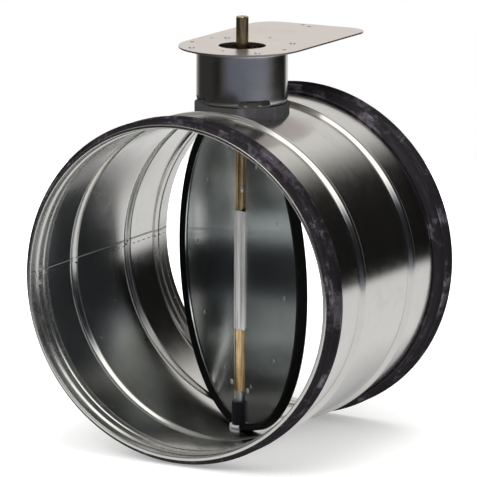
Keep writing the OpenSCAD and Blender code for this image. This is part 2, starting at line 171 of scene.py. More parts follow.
class DamperColours(bpy.types.PropertyGroup):
    """Colours of the finishes"""

    zinc: colour("Galvanised sheet", "Casing and neck", (0.66, 0.652, 0.63))
    plate: colour("Plate", "Actuator plate", (0.77, 0.705, 0.67))
    blade: colour("Blade sheet", "Both blade discs", (0.70, 0.745, 0.755))
    # Lighter than the blade sheet: a painted sheen for the strap's bright reflection.
    strap: colour("Strap", "Strap over the shaft", (0.74, 0.735, 0.73))
    rubber: colour("Rubber", "Gaskets", (0.010, 0.0085, 0.0105))
    scuff: colour("Scuffs", "Scuffed rubber", (0.240, 0.215, 0.260))
    # Dark grey rubber whose tone is also set to read as the shade in the gap under the neck: partly
    # painted shade.
    pad_rubber_and_gap_shade: colour("Cellular rubber", "Pad under the neck", (0.075, 0.073, 0.076))
    # The weld tone also colours the painted shadow strip along the seam.
    burnt: colour("Burnt weld", "Welds along the seam", (0.07, 0.065, 0.06))
    seal: colour("Seal", "Seal around the blade", (0.004, 0.004, 0.004))
    gold: colour("Chromate", "Light tone of the chromated shaft", (0.84, 0.66, 0.40))
    brown: colour("Dark chromate", "Dark tone of the chromated shaft", (0.42, 0.27, 0.12))
    steel: colour("Zinc plate", "Rivets, nuts, ring and washer", (0.76, 0.76, 0.77))
    bush: colour("Bush", "Both bushes", (0.72, 0.73, 0.77))
    sleeve: colour("Sleeve", "Both bearing sleeves", (0.008, 0.008, 0.010))


# Node boards and finishes

class Wire:
    """A value socket that adds Math nodes when it is calculated with."""

    def __init__(self, board, socket):
        self.board = board
        self.socket = socket

    def math(self, operation, *values):
        return self.board.node("ShaderNodeMath", {"operation": operation}, values)

    def __add__(self, other):
        return self.math("ADD", self, other)

    __radd__ = __add__

    def __sub__(self, other):
        return self.math("SUBTRACT", self, other)

    def __rsub__(self, other):
        return self.math("SUBTRACT", other, self)

    def __mul__(self, other):
        return self.math("MULTIPLY", self, other)

    __rmul__ = __mul__

    def __truediv__(self, other):
        return self.math("DIVIDE", self, other)

    def __rtruediv__(self, other):
        return self.math("DIVIDE", other, self)

    def __pow__(self, other):
        return self.math("POWER", self, other)

    def angle_over(self, other):
        """The angle whose tangent is this value over another."""
        return self.math("ARCTAN2", self, other)

    def eased(self, low, high):
        """Rises smoothly from 0 at low to 1 at high."""
        return self.board.node("ShaderNodeMapRange", {"interpolation_type": "SMOOTHSTEP"},
                               {"Value": self, "From Min": low, "From Max": high})


class Board:
    """Adds nodes to one node tree: settings first, then the values or links of the sockets."""

    def __init__(self, tree):
        self.tree = tree
        tree.nodes.clear()

    def node(self, kind, settings=None, values=(), out=0):
        made = self.tree.nodes.new(kind)
        for key, value in (settings or {}).items():
            setattr(made, key, value)
        pairs = values.items() if isinstance(values, dict) else enumerate(values)
        for key, value in pairs:
            if isinstance(value, Wire):
                self.tree.links.new(value.socket, made.inputs[key])
            else:
                made.inputs[key].default_value = value
        return None if out is None else Wire(self, made.outputs[out])

    def parts(self, vector):
        """The X, Y and Z of a vector."""
        first = self.node("ShaderNodeSeparateXYZ", values=[vector])
        return [Wire(self, socket) for socket in first.socket.node.outputs]

    def noise(self, place, scale, detail=3.0, roughness=0.55):
        return self.node("ShaderNodeTexNoise", {},
                         {"Vector": place, "Scale": scale, "Detail": detail,
                          "Roughness": roughness})

    def stretched(self, place, factors):
        return self.node("ShaderNodeVectorMath", {"operation": "MULTIPLY"}, [place, factors])

    def blend(self, share, first, second, way="MIX"):
        """Mixes two colours."""
        return self.node("ShaderNodeMix", {"data_type": "RGBA", "blend_type": way},
                         {0: share, 6: first, 7: second}, 2)

    def surface(self, shader):
        self.node("ShaderNodeOutputMaterial", {}, {"Surface": shader}, None)


def opaque(value):
    """A colour with full alpha."""
    return (*value, 1.0)


def new_finish(name):
    """A new material and its board."""
    made = bpy.data.materials.new(name)
    made.use_nodes = True
    return made, Board(made.node_tree)


def sheet_metal(name, tone, roughness, wrap, wear=1.0, strap=None, spangle_size=150.0):
    """Galvanised sheet: faint crystals, rolling lines, smudges and hairlines, and a strap whose lighter,
    less metallic colour and streaks are a painted sheen.
    """
    made, board = new_finish(name)
    place = board.node("ShaderNodeTexCoord", out="Object")
    x, y, z = board.parts(place)
    turn, along = {"Y": (z.angle_over(x), y), "Z": (y.angle_over(x), z), "": (x * 6.0, z)}[wrap]
    lines = board.node("ShaderNodeCombineXYZ", values=[turn * 1.4, along * 420.0, 0.0])
    rolled = board.noise(lines, 1.0, 3.0)
    mottle = board.noise(place, 17.0, 4.0)
    crystal_tone = board.node("ShaderNodeTexVoronoi", {}, {"Vector": place,
                                                           "Scale": spangle_size}, 1)
    crystal = board.parts(crystal_tone)[0]
    smudge = board.noise(place, 38.0, 6.0, 0.62).eased(0.50, 0.80)
    slant = board.node("ShaderNodeCombineXYZ", values=[x * 26.0, y * 40.0, (z + x * 1.3) * 1900.0])
    hair = board.noise(slant, 1.0, 1.0).eased(0.72, 0.78)
    marks = hair * board.noise(place, 20.0, 2.0).eased(0.50, 0.60) * wear
    light = 0.95 + mottle * 0.05 + crystal * 0.03 + rolled * 0.05 - smudge * (0.07 * wear)
    rough = (roughness - 0.04 + mottle * 0.03 + crystal * 0.02 + rolled * 0.04
             + smudge * (0.05 * wear) + marks * 0.10)
    if wrap == "Y":
        rough = rough + y.math("ABSOLUTE", y).eased(0.100, 0.106) * (0.08 + smudge * 0.12)
    if wrap == "Z":
        worked = 1 - z.eased(0.1655, 0.1695) * (1 - z.eased(0.2110, 0.2135))
        rough = rough + worked * 0.25
    height = crystal * 0.06 + rolled * 0.5 - marks * 0.6
    dent = board.node("ShaderNodeBump", {}, {"Strength": 0.05, "Distance": 0.0002,
                                             "Height": height})
    base = board.blend(1.0, opaque(tone), light, "MULTIPLY")
    metal = 1.0
    # The strap region of the sheet gets a lighter, less metallic colour with streaks: painted sheen for
    # the bright reflection of the pressed strap.
    if strap:
        side, ahead = math.cos(BLADE_ANGLE), math.sin(BLADE_ANGLE)
        across = x * side - y * ahead
        proud = 0 - (x * ahead + y * side)
        part = (proud.eased(1.3 * MM, 1.5 * MM)
                * (1 - across.math("ABSOLUTE", across).eased(STRAP_WIDE, STRAP_WIDE + 0.3 * MM))
                * (1 - z.math("ABSOLUTE", z).eased(STRAP_LONG, STRAP_LONG + 0.5 * MM)))
        streak = board.noise(board.stretched(place, (620.0, 620.0, 7.0)), 1.0, 6.0, 0.75)
        streak = streak.eased(0.34, 0.64)
        strap_painted_sheen = board.blend(1.0, opaque(strap), 0.34 + streak * 0.86, "MULTIPLY")
        base = board.blend(part, base, strap_painted_sheen)
        rough = rough + part * (0.08 + streak * 0.20)
        metal = 1 - part * 0.65
    board.surface(board.node("ShaderNodeBsdfPrincipled", {}, {
        "Base Color": base, "Metallic": metal, "Roughness": rough, "Normal": dent}))
    return made


def moulded_rubber(name, tone, scuff, roughness, scuffing, valley=False):
    """Black rubber with scuffs along the ring, dust and a fine grain."""
    made, board = new_finish(name)
    place = board.node("ShaderNodeTexCoord", out="Object")
    x, y, z = board.parts(place)
    around = z.angle_over(x)
    drawn = board.node("ShaderNodeCombineXYZ", values=[around * 3.0, y * 260.0, 0.0])
    scuffs = board.noise(drawn, 1.0, 6.0, 0.7).eased(0.50, 0.68)
    blotch = board.noise(place, 34.0, 7.0, 0.72).eased(0.51, 0.64)
    dust = board.noise(place, 320.0, 5.0, 0.7).eased(0.58, 0.78)
    share = (scuffs * 0.10 + blotch * (0.25 + scuffs * 0.95) + dust * 0.20) * scuffing
    if valley:
        reach = (x * x + z * z) ** 0.5
        share = share + (1 - reach.eased(0.1600, 0.1640)) * (0.03 + blotch * 0.12)
    grain = board.noise(place, 950.0, 3.0)
    base = board.blend(share.math("MINIMUM", share, 1.0), opaque(tone), opaque(scuff))
    dent = board.node("ShaderNodeBump", {}, {"Strength": 0.25, "Distance": 0.0002,
                                             "Height": grain + scuffs * 0.6})
    board.surface(board.node("ShaderNodeBsdfPrincipled", {}, {
        "Base Color": base, "Roughness": roughness + grain * 0.12 + share * 0.15,
        "Specular IOR Level": 0.13, "Normal": dent}))
    return made


def chromated(name, light_tone, dark_tone, bare_tone):
    """Yellow chromate in uneven gold and brown, with bare steel on the turned lower end."""
    made, board = new_finish(name)
    place = board.node("ShaderNodeTexCoord", out="Object")
    drawn = board.noise(board.stretched(place, (900.0, 900.0, 30.0)), 1.0, 4.0)
    cloud = board.noise(board.stretched(place, (120.0, 120.0, 26.0)), 1.0, 4.0)
    cast = board.noise(board.stretched(place, (60.0, 60.0, 14.0)), 1.0, 2.0).eased(0.45, 0.7)
    base = board.blend(cloud.eased(0.30, 0.72), opaque(dark_tone), opaque(light_tone))
    base = board.blend(cast * 0.35, base, (0.50, 0.52, 0.26, 1.0))
    bare = 1 - board.parts(place)[2].eased(-0.1201, -0.1196)
    base = board.blend(bare, base, opaque(bare_tone))
    base = board.blend(1.0, base, 0.85 + drawn * 0.25, "MULTIPLY")
    dent = board.node("ShaderNodeBump", {}, {"Strength": 0.12, "Distance": 0.0001,
                                             "Height": drawn})
    board.surface(board.node("ShaderNodeBsdfPrincipled", {}, {
        "Base Color": base, "Metallic": 1.0, "Roughness": 0.17 + cloud * 0.12 + bare * 0.2,
        "Normal": dent}))
    return made


def plated(name, tone, roughness, scale=220.0, dents=0.2):
    """Zinc-plated steel with uneven tone and tool marks."""
    made, board = new_finish(name)
    place = board.node("ShaderNodeTexCoord", out="Object")
    cloud = board.noise(place, scale, 4.0, 0.6)
    fine = board.noise(place, scale * 6, 3.0)
    base = board.blend(1.0, opaque(tone), 0.78 + cloud * 0.34, "MULTIPLY")
    dent = board.node("ShaderNodeBump", {}, {"Strength": dents, "Distance": 0.0001,
                                             "Height": cloud + fine * 0.4})
    board.surface(board.node("ShaderNodeBsdfPrincipled", {}, {
        "Base Color": base, "Metallic": 0.95, "Roughness": roughness + cloud * 0.16,
        "Normal": dent}))
    return made


def moulded_plastic(name, tone, roughness, gloss=0.5):
    """Moulded plastic with a soft grain and slight stains."""
    made, board = new_finish(name)
    place = board.node("ShaderNodeTexCoord", out="Object")
    cloud = board.noise(place, 90.0, 4.0, 0.6)
    grain = board.noise(place, 1400.0, 2.0)
    base = board.blend(1.0, opaque(tone), 0.82 + cloud * 0.30, "MULTIPLY")
    dent = board.node("ShaderNodeBump", {}, {"Strength": 0.15, "Distance": 0.0001,
                                             "Height": grain})
    board.surface(board.node("ShaderNodeBsdfPrincipled", {}, {
        "Base Color": base, "Roughness": roughness + cloud * 0.12,
        "Specular IOR Level": gloss, "Normal": dent}))
    return made


FINISHES = {
    "galvanised_casing": lambda n, c: sheet_metal(n, c.zinc, 0.16, "Y"),
    "galvanised_neck": lambda n, c: sheet_metal(n, c.zinc, 0.19, "Z", wear=0.5),
    "galvanised_plate": lambda n, c: sheet_metal(n, c.plate, 0.31, ""),
    "blade_sheet": lambda n, c: sheet_metal(n, c.blade, 0.15, "", wear=0.8),
    "strapped_sheet": lambda n, c: sheet_metal(n, c.blade, 0.15, "", wear=0.8, strap=c.strap),
    "gasket_rubber": lambda n, c: moulded_rubber(n, c.rubber, c.scuff, 0.46, 0.85, True),
    "hidden_rubber": lambda n, c: moulded_rubber(n, c.rubber, c.scuff, 0.55, 0.25),
    "cellular_rubber": lambda n, c: moulded_rubber(n, c.pad_rubber_and_gap_shade, c.scuff, 0.75, 0.30),
    "seal_rubber": lambda n, c: moulded_rubber(n, c.seal, c.scuff, 0.62, 0.03),
    "yellow_chromate": lambda n, c: chromated(n, c.gold, c.brown, c.steel),
    "zinc_plate": lambda n, c: plated(n, c.steel, 0.24),
    "weld_metal": lambda n, c: plated(n, c.steel, 0.24, 420.0, 0.8),
    # Burnt welds, and also the painted shadow strip along the seam.
    "burnt_weld": lambda n, c: plated(n, c.burnt, 0.45, 420.0),
    "bush_plastic": lambda n, c: moulded_plastic(n, c.bush, 0.38),
    "sleeve_plastic": lambda n, c: moulded_plastic(n, c.sleeve, 0.30, 0.2),
}


def finish(context, name):
    """A finish by name, made the first time that it is asked for."""
    found = bpy.data.materials.get(name)
    return found or FINISHES[name](name, context.scene.damper_colours)


# Mesh tools

def tidy_mesh(mesh, sharp=35.0, turn_out=True):
    """Merges doubles, turns the faces outwards, and smooths all but the sharp edges."""
    edit = bmesh.new()
    edit.from_mesh(mesh)
    bmesh.ops.remove_doubles(edit, verts=edit.verts, dist=MERGE)
    bmesh.ops.dissolve_degenerate(edit, edges=edit.edges, dist=MERGE)
    if turn_out:
        bmesh.ops.recalc_face_normals(edit, faces=edit.faces)
    edit.to_mesh(mesh)
    edit.free()
    mesh.shade_smooth()
    mesh.set_sharp_from_angle(angle=math.radians(sharp))
    return mesh


def mesh_from(name, points, faces, sharp=35.0):
    """A tidy mesh from points and faces."""
    mesh = bpy.data.meshes.new(name)
    mesh.from_pydata(points, [], faces)
    return tidy_mesh(mesh, sharp)


def placed(context, name, mesh, material=None):
    """Puts a mesh in the scene, at the origin."""
    made = bpy.data.objects.new(name, mesh)
    context.scene.collection.objects.link(made)
    if material is not None:
        mesh.materials.clear()
        mesh.materials.append(material)
    return made


def settled(context, made):
    """Turns what an object's modifiers make into its own mesh."""
    context.view_layer.update()
    graph = context.evaluated_depsgraph_get()
    mesh = bpy.data.meshes.new_from_object(made.evaluated_get(graph), depsgraph=graph,
                                           preserve_all_data_layers=True)
    made.modifiers.clear()
    made.data = mesh
    return made


def joined_to(made, body, slot, *nodes):
    """Makes a piece ride on its body and stand for its nodes, which are hidden; the slot is not used."""
    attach(made, body)
    if nodes:
        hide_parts(*nodes)
    return made


def eased(value, low, high):
    """Smooth share of the way from low to high."""
    share = min(1.0, max(0.0, (value - low) / (high - low)))
    return share * share * (3 - 2 * share)


def rounded_path(points, radii, steps=6):
    """An open path with its inner corners rounded."""
    points = [Vector(p) for p in points]
    path = [points[0]]
    for before, corner, after, radius in zip(points, points[1:], points[2:], radii):
        back, ahead = before - corner, after - corner
        reach = radius / math.tan(back.angle(ahead) / 2)
        start = corner + back.normalized() * reach
        end = corner + ahead.normalized() * reach
        for i in range(steps + 1):
            share = i / steps
            path.append(start.lerp(corner, share).lerp(corner.lerp(end, share), share))
    path.append(points[-1])
    return path


def refined(path, step):
    """The same path with no stretch longer than step."""
    fine = [path[0]]
    for start, end in zip(path, path[1:]):
        count = max(1, math.ceil((end - start).length / step))
        fine.extend(start.lerp(end, i / count) for i in range(1, count + 1))
    return fine


def sheet_section(path, thickness):
    """Closed section of a sheet whose middle follows a path."""
    right, left = [], []
    last = len(path) - 1
    for i, point in enumerate(path):
        ahead = (path[min(i + 1, last)] - path[min(i, last - 1)]).normalized()
        back = (path[max(i, 1)] - path[max(i - 1, 0)]).normalized()
        mean = (ahead + back) / 2
        across = Vector((mean.y, -mean.x)) / mean.length_squared * (thickness / 2)
        right.append(point + across)
        left.append(point - across)
    return right + left[::-1]


def rounded_section(points, radius, steps=3):
    """A closed section with every corner rounded, less where the sides are short."""
    points = [Vector(p) for p in points]
    made = []
    for i, corner in enumerate(points):
        back, ahead = points[i - 1] - corner, points[(i + 1) % len(points)] - corner
        reach = min(radius / math.tan(back.angle(ahead) / 2),
                    0.42 * back.length, 0.42 * ahead.length)
        start = corner + back.normalized() * reach
        end = corner + ahead.normalized() * reach
        for j in range(steps + 1):
            share = j / steps
            made.append(start.lerp(corner, share).lerp(corner.lerp(end, share), share))
    return made


def lathe(name, section, axis, turns, shift=None, extra=(), sharp=35.0):
    """Turns a closed section of (radius, place along the axis) around Y or Z."""
    angles = sorted({*(TAU * i / turns for i in range(turns)), *extra})
    points = []
    for angle in angles:
        for radius, place in section:
            reach = radius + (shift(angle, radius, place) if shift else 0.0)
            side, up = reach * math.cos(angle), reach * math.sin(angle)
            points.append((side, place, up) if axis == "Y" else (side, up, place))
    rings, size = len(angles), len(section)
    faces = [(i * size + k, i * size + (k + 1) % size,
              (i + 1) % rings * size + (k + 1) % size, (i + 1) % rings * size + k)
             for i in range(rings) for k in range(size)]
    return mesh_from(name, points, faces, sharp)


def swept(rows):
    """Points and faces of a bar through rows of matching points, capped at both ends."""
    size = len(rows[0])
    points = [p for row in rows for p in row]
    faces = [(i * size + k, i * size + (k + 1) % size,
              (i + 1) * size + (k + 1) % size, (i + 1) * size + k)
             for i in range(len(rows) - 1) for k in range(size)]
    faces.append(tuple(range(size)))
    faces.append(tuple(range((len(rows) - 1) * size, len(rows) * size)))
    return points, faces


def several(name, solids, sharp=35.0):
    """One mesh from several (points, faces) solids."""
    points, faces = [], []
    for solid_points, solid_faces in solids:
        start = len(points)
        points.extend(solid_points)
        faces.extend(tuple(start + k for k in face) for face in solid_faces)
    return mesh_from(name, points, faces, sharp)


def post(x, y, radius, low, high, sides=32):
    """Points and faces of an upright cylinder."""
    ring = [(x + radius * math.cos(TAU * i / sides), y + radius * math.sin(TAU * i / sides))
            for i in range(sides)]
    return swept([[(px, py, height) for px, py in ring] for height in (low, high)])


def cut_with(context, made, cutter_mesh):
    """Cuts a closed mesh out of a piece."""
    cutter = placed(context, "cutter", cutter_mesh)
    cut = made.modifiers.new("Cut", "BOOLEAN")
    cut.operation = "DIFFERENCE"
    cut.solver = "EXACT"
    cut.object = cutter
    settled(context, made)
    bpy.data.objects.remove(cutter)
    tidy_mesh(made.data, turn_out=False)
    return made


def smooth_copy(context, node, name, material, level=None):
    """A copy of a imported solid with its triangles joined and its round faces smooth.

    Faces square to the direction level are shaded flat.
    """
    mesh = frame["nodes"][node].data.copy()
    edit = bmesh.new()
    edit.from_mesh(mesh)
    bmesh.ops.remove_doubles(edit, verts=edit.verts, dist=MERGE)
    bmesh.ops.dissolve_limit(edit, angle_limit=math.radians(0.3), verts=edit.verts,
                             edges=edit.edges)
    edit.to_mesh(mesh)
    edit.free()
    mesh.shade_smooth()
    mesh.set_sharp_from_angle(angle=math.radians(28.0))
    if level:
        for face in mesh.polygons:
            face.use_smooth = abs(face.normal.dot(level)) < 0.99999
    made = placed(context, name, mesh, material)
    even = made.modifiers.new("Even shading", "WEIGHTED_NORMAL")
    even.mode = "FACE_AREA"
    even.weight = 100
    even.keep_sharp = True
    return settled(context, made)


def dress(node, material):
    """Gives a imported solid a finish."""
    mesh = frame["nodes"][node].data
    if mesh.materials:
        mesh.materials[0] = material
    else:
        mesh.materials.append(material)


def on_blade(x, y, z):
    """A point of the closed blade, turned back by the joint's upper limit to its place at rest."""
    side, ahead = math.cos(BLADE_ANGLE), math.sin(BLADE_ANGLE)
    return Vector((x * side + y * ahead, -x * ahead + y * side, z))


# Lumps by geometry nodes

def lump_tree():
    """Tree that sets a domed lump on each point: rivet heads, spot welds and weld beads."""
    found = bpy.data.node_groups.get("domed_lumps")
    if found:
        return found
    tree = bpy.data.node_groups.new("domed_lumps", "GeometryNodeTree")
    for name, kind in (("Points", "NodeSocketGeometry"), ("Length", "NodeSocketFloat"),
                       ("Width", "NodeSocketFloat"), ("Height", "NodeSocketFloat"),
                       ("Segments", "NodeSocketInt"), ("Rings", "NodeSocketInt"),
                       ("Finish", "NodeSocketMaterial")):
        tree.interface.new_socket(name=name, in_out="INPUT", socket_type=kind)
    tree.interface.new_socket(name="Lumps", in_out="OUTPUT", socket_type="NodeSocketGeometry")
    board = Board(tree)
    entry = board.node("NodeGroupInput").socket.node

    def given(name):
        return Wire(board, entry.outputs[name])

    def stored(name, kind):
        return board.node("GeometryNodeInputNamedAttribute", {"data_type": kind},
                          {"Name": name})

    dome = board.node("GeometryNodeMeshUVSphere", {}, {
        "Segments": given("Segments"), "Rings": given("Rings"), "Radius": 1.0})
    size = board.node("ShaderNodeCombineXYZ", values=[
        given("Length"), given("Width"), given("Height")])
    size = board.node("ShaderNodeVectorMath", {"operation": "MULTIPLY"},
                      [size, stored("grow", "FLOAT")])
    upright = board.node("FunctionNodeAlignRotationToVector", {"axis": "Z"},
                         {"Vector": stored("facing", "FLOAT_VECTOR")})
    turned = board.node("FunctionNodeAlignRotationToVector", {"axis": "X", "pivot_axis": "Z"},
                        {"Rotation": upright, "Vector": stored("along", "FLOAT_VECTOR")})
    lumps = board.node("GeometryNodeInstanceOnPoints", {}, {
        "Points": given("Points"), "Instance": dome, "Rotation": turned, "Scale": size})
    solid = board.node("GeometryNodeRealizeInstances", values=[lumps])
    smooth = board.node("GeometryNodeSetShadeSmooth", values=[solid])
    shown = board.node("GeometryNodeSetMaterial", {}, {"Geometry": smooth,
                                                       "Material": given("Finish")})
    board.node("NodeGroupOutput", {}, {0: shown}, None)
    return tree


def lumps(context, name, spots, size, material, segments=20, rings=10):
    """A piece of lumps. Each spot is (place, facing, along, growth)."""
    mesh = bpy.data.meshes.new(name)
    mesh.from_pydata([tuple(spot[0]) for spot in spots], [], [])
    for label, index in (("facing", 1), ("along", 2)):
        layer = mesh.attributes.new(label, "FLOAT_VECTOR", "POINT")
        layer.data.foreach_set("vector", [v for spot in spots for v in spot[index]])
    layer = mesh.attributes.new("grow", "FLOAT", "POINT")
    layer.data.foreach_set("value", [spot[3] for spot in spots])
    made = placed(context, name, mesh)
    tree = lump_tree()
    modifier = made.modifiers.new("Lumps", "NODES")
    modifier.node_group = tree
    values = {"Length": size[0], "Width": size[1], "Height": size[2],
              "Segments": segments, "Rings": rings, "Finish": material}
    for item in tree.interface.items_tree:
        if item.name in values:
            modifier[item.identifier] = values[item.name]
    settled(context, made)
    if not made.data.polygons:
        raise RuntimeError(f"{name}: the lump tree made no faces")
    if not made.data.materials:
        made.data.materials.append(material)
    return made


# Shapes of the damper

def wall_radius(s, y):
    """Radius of the middle of the casing's sheet at a place along the duct."""
    away = abs(y)
    radius = s.bore_radius + s.sheet / 2
    bead = 1 - abs(away - s.bead_place) / (s.bead_width / 2)
    if bead > 0:
        flank = min(1.0, bead / BEAD_FLANK)
        radius += s.bead_height * (0.6 * flank + 0.4 * eased(flank, 0.0, 1.0))
    sunk = (eased(away, s.seat_start, s.seat_start + s.seat_ramp)
            - eased(away, s.seat_end - s.seat_ramp, s.seat_end))
    ridge = abs(away - (s.seat_start + s.seat_end) / 2 + 0.7 * MM) / (1.7 * MM)
    if ridge < 1:
        radius += s.seat_ridge * (1 + math.cos(math.pi * ridge)) / 2
    return radius - s.seat_depth * sunk


def wall_places(s):
    """Places along the duct at which the sheet is drawn, from end to end."""
    half = [0.0, 15 * MM, 30 * MM, 43 * MM]
    half += [s.bead_place + s.bead_width * (i / 16 - 0.5) for i in range(17)]
    half += [60 * MM, 75 * MM, 90 * MM, 99 * MM]
    half += [s.seat_start + (s.seat_end - s.seat_start) * i / 34 for i in range(35)]
    half += [126 * MM, s.half_length - 1.6 * MM]
    return [-y for y in half[:0:-1]] + half


def sheet_ripple(s):
    """How far the sheet strays from round, the same on both of its faces."""
    def shift(angle, radius, place):
        spot = Vector((2.4 * math.cos(angle), 15 * place, 2.4 * math.sin(angle)))
        return s.ripple * noise.noise(spot)
    return shift


def casing_section(s):
    """Section of the casing's sheet with both folded edges."""
    places = wall_places(s)
    wall = [Vector((wall_radius(s, y), y)) for y in places]
    half = s.sheet / 2
    end, out = s.half_length - half, s.edge_radius - half
    tip = s.half_length - s.edge_back
    hem = rounded_path([(wall[-1].x, places[-1]), (wall[-1].x, end), (out, end), (out, tip)],
                       (0.55 * MM, 0.55 * MM), 4)
    front_hem = [Vector((p.x, -p.y)) for p in hem[::-1]]
    return sheet_section(front_hem[:-1] + wall + hem[1:], s.sheet)


def seam_bar(s, inside, reach, top, width, step, slope):
    """Thin strip with sloping edges that follows the sheet along the duct on its left side."""
    rows = []
    way = -1 if inside else 1
    for y in wall_places(s):
        if abs(y) > reach:
            continue
        face = wall_radius(s, y) + way * s.sheet / 2
        row = []
        for height, rise in ((top - width, -0.1 * MM), (top - width + slope, step),
                             (top - slope, step), (top, -0.1 * MM)):
            radius = face + way * rise
            angle = height / radius
            row.append((-radius * math.cos(angle), y, radius * math.sin(angle)))
        rows.append(row)
    return swept(rows)


def on_wall(s, y, z):
    """A point on the inside of the left wall, and the way it faces."""
    radius = wall_radius(s, y) - s.sheet / 2
    angle = z / radius
    return (Vector((-radius * math.cos(angle), y, radius * math.sin(angle))),
            Vector((math.cos(angle), 0.0, -math.sin(angle))))


def gasket_points(s):
    """Section of the rear duct gasket: a band with two lips."""
    wall = s.bore_radius + s.sheet
    band, crest = wall + s.gasket_band, wall + s.lip_height
    points = [(wall, s.half_length - s.gasket_width), (band, s.half_length - s.gasket_width)]
    outer = s.half_length - s.lip_margin
    for tip in (outer - s.lip_pitch, outer):
        points += [(band, tip - 4.5 * MM), (crest, tip), (crest - 1.4 * MM, tip + 1.0 * MM),
                   (band, tip + 3.5 * MM)]
    stop = s.half_length - s.edge_back - 0.1 * MM
    return points + [(band, stop), (wall, stop)]


def seal_section(s):
    """Section of the blade's seal."""
    face, half = s.disc_face, s.seal_thickness / 2
    out, disc = s.seal_radius, s.disc_radius + 0.1 * MM
    side = [(136.5 * MM, 0.4 * MM), (disc, 0.4 * MM), (disc, face),
            (out - 2.4 * MM, half), (out - 0.8 * MM, half), (out, half - 0.8 * MM)]
    return side + [(r, -y) for r, y in reversed(side)]


def rim_section(s, way):
    """Section of the raised edge that cutting leaves around a disc."""
    out, face = s.disc_radius, s.disc_face
    return [(out - 0.9 * MM, way * (face - 0.1 * MM)), (out, way * (face - 0.1 * MM)),
            (out, way * (face + 0.15 * MM)), (out - 0.25 * MM, way * (face + 0.3 * MM)),
            (out - 0.6 * MM, way * (face + 0.25 * MM)), (out - 0.9 * MM, way * face)]


def half_rings(s, section):
    """Both halves of a ring around the blade, which stop short of the bearing sleeves."""
    rows_of = 150
    solids = []
    for way in (1, -1):
        rows = []
        for i in range(rows_of + 1):
            share = i / rows_of
            row = []
            for radius, y in section:
                wide = radius > 153.5 * MM
                top = 14.5 * MM if wide else s.sleeve_gap
                foot = 11.0 * MM if wide else s.sleeve_gap
                start = math.asin(math.sqrt(max(top * top - y * y, 0.0)) / radius)
                stop = math.pi - math.asin(math.sqrt(max(foot * foot - y * y, 0.0)) / radius)
                angle = start + (stop - start) * share
                row.append(on_blade(way * radius * math.sin(angle), y,
                                    radius * math.cos(angle)))
            rows.append(row)
        solids.append(swept(rows))
    return solids


def notch_cutters(s):
    """Four drain openings in the foot of the neck, and the two screw holes in its flange."""
    outline = [(s.notch_width / 2, -1.0 * MM)]
    for i in range(9):
        angle = math.radians(90 * i / 8)
        outline.append((s.notch_width / 2 - s.notch_corner * (1 - math.cos(angle)),
                        s.notch_height - s.notch_corner * (1 - math.sin(angle))))
    outline += [(-w, h) for w, h in reversed(outline)]
    solids = []
    for corner in CORNERS:
        out = Vector((math.cos(corner), math.sin(corner), 0))
        side = Vector((-math.sin(corner), math.cos(corner), 0))
        rows = [[out * reach + side * w + Vector((0, 0, s.neck_foot + h)) for w, h in outline]
                for reach in (s.neck_radius - s.neck_corner, s.neck_radius + s.neck_corner)]
        solids.append(swept(rows))
    for x in (-52.5 * MM, 47.0 * MM):
        solids.append(post(x, -3.5 * MM, 2.15 * MM, s.neck_top - 5.0 * MM,
                           s.neck_top + 2.0 * MM))
    return several("cutter", solids)


# Studio

def studio_world():
    """White backdrop behind, dark room at the sides, dim front, and a soft light overhead."""
    world = bpy.data.worlds.new("studio")
    world.use_nodes = True
    board = Board(world.node_tree)
    x, y, z = board.parts(board.node("ShaderNodeTexCoord", out="Generated"))
    turn = y.angle_over(x)
    rad = math.radians
    backdrop = turn.eased(rad(72), rad(92)) * (1 - turn.eased(rad(116), rad(168)))
    front = turn.eased(rad(-128), rad(-84)) * (1 - turn.eased(rad(-12), rad(34)))
    low = 1 - z.eased(-0.13, -0.02)
    high = z.eased(0.42, 0.60)
    softbox = (turn.eased(rad(-105), rad(-75)) * (1 - turn.eased(rad(-8), rad(14)))
               * z.eased(0.40, 0.68))
    left = (0 - x).eased(0.45, 0.90)
    side = 0.009 + left * 0.03 + backdrop * 0.80 + front * (low * 0.25 + 0.012)
    level = side + high * (1 - backdrop) * 0.33 + softbox * 1.4
    tint = board.blend(front * (1 - high), (1.0, 0.985, 0.95, 1.0), (0.72, 0.77, 1.0, 1.0))
    seen = board.node("ShaderNodeLightPath", out="Is Camera Ray")
    tint = board.blend(seen, tint, (1.0, 1.0, 1.0, 1.0))
    light = board.node("ShaderNodeBackground", {}, {
        "Color": tint, "Strength": level * (1 - seen) + seen})
    board.node("ShaderNodeOutputWorld", {}, {"Surface": light}, None)
    return world


